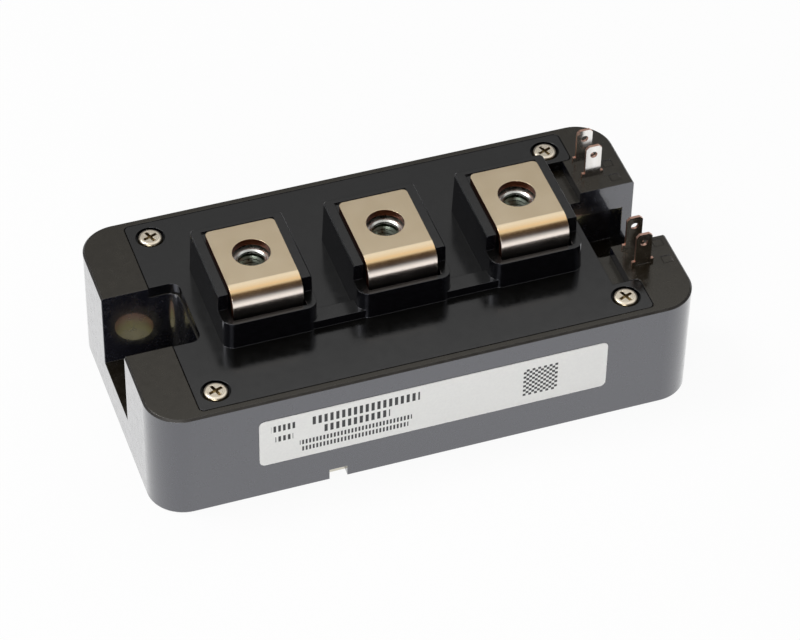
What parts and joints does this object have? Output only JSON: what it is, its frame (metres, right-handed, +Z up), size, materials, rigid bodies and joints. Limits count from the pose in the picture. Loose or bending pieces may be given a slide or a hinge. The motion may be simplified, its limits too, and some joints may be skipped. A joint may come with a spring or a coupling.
{
  "type": "igbt module",
  "caption": "Half bridge power module: black moulded case on a flat metal plate, bolt notches at both ends, folded screw terminals on top and a row of flat push-on tabs.",
  "frame": {"origin": "centre of the flat mounting face, midway between the two bolt holes, on the underside of the base plate", "axes": "+X along the length towards the push-on tabs, +Y across the width away from the label, +Z up out of the mounting face"},
  "size_m": [0.094, 0.0481, 0.0306],
  "materials": {
    "plate_nickel": "nickel plated, satin",
    "seal_silicone": "cured adhesive bead",
    "sleeve_steel": "zinc plated, yellow passivated",
    "case_plastic": "moulded, glossy",
    "lid_plastic": "moulded, glossy",
    "label_film": "coated, semi-matt, neutral printed bars",
    "bare_copper": "bare rolled copper",
    "terminal_tin": "tin plated, satin",
    "tab_tin": "tin plated, bare at the stamped edges",
    "nut_steel": "zinc plated",
    "screw_steel": "zinc plated, faint yellow",
    "solder": "reflowed",
    "alumina": "matt",
    "silicon": "metallised top",
    "bond_aluminium": "bright",
    "gel": "clear, soft"
  },
  "bodies": {
    "root": {"base_plate": "plate_nickel", "bond_ribbons_left": "bond_aluminium", "bond_ribbons_right": "bond_aluminium", "case_frame": "case_plastic", "ceramic_left": "alumina", "ceramic_right": "alumina", "diode_dies_left": "silicon", "diode_dies_right": "silicon", "gate_tab_1": "tab_tin", "gate_tab_2": "tab_tin", "gate_tab_3": "tab_tin", "gate_tab_4": "tab_tin", "gate_wires": "bond_aluminium", "igbt_dies_left": "silicon", "igbt_dies_right": "silicon", "label": "label_film", "lid": "lid_plastic", "lid_screw_1": "screw_steel", "lid_screw_2": "screw_steel", "lid_screw_3": "screw_steel", "lid_screw_4": "screw_steel", "link_strap": "bare_copper", "lower_copper_left": "bare_copper", "lower_copper_right": "bare_copper", "nut_left": "nut_steel", "nut_middle": "nut_steel", "nut_right": "nut_steel", "seal_bead": "seal_silicone", "silicone_gel": "gel", "sleeve_left": "sleeve_steel", "sleeve_right": "sleeve_steel", "solder_left": "solder", "solder_right": "solder", "terminal_left": "terminal_tin", "terminal_middle": "terminal_tin", "terminal_right": "terminal_tin", "upper_copper_left": "bare_copper", "upper_copper_right": "bare_copper"}
  },
  "joints": []
}
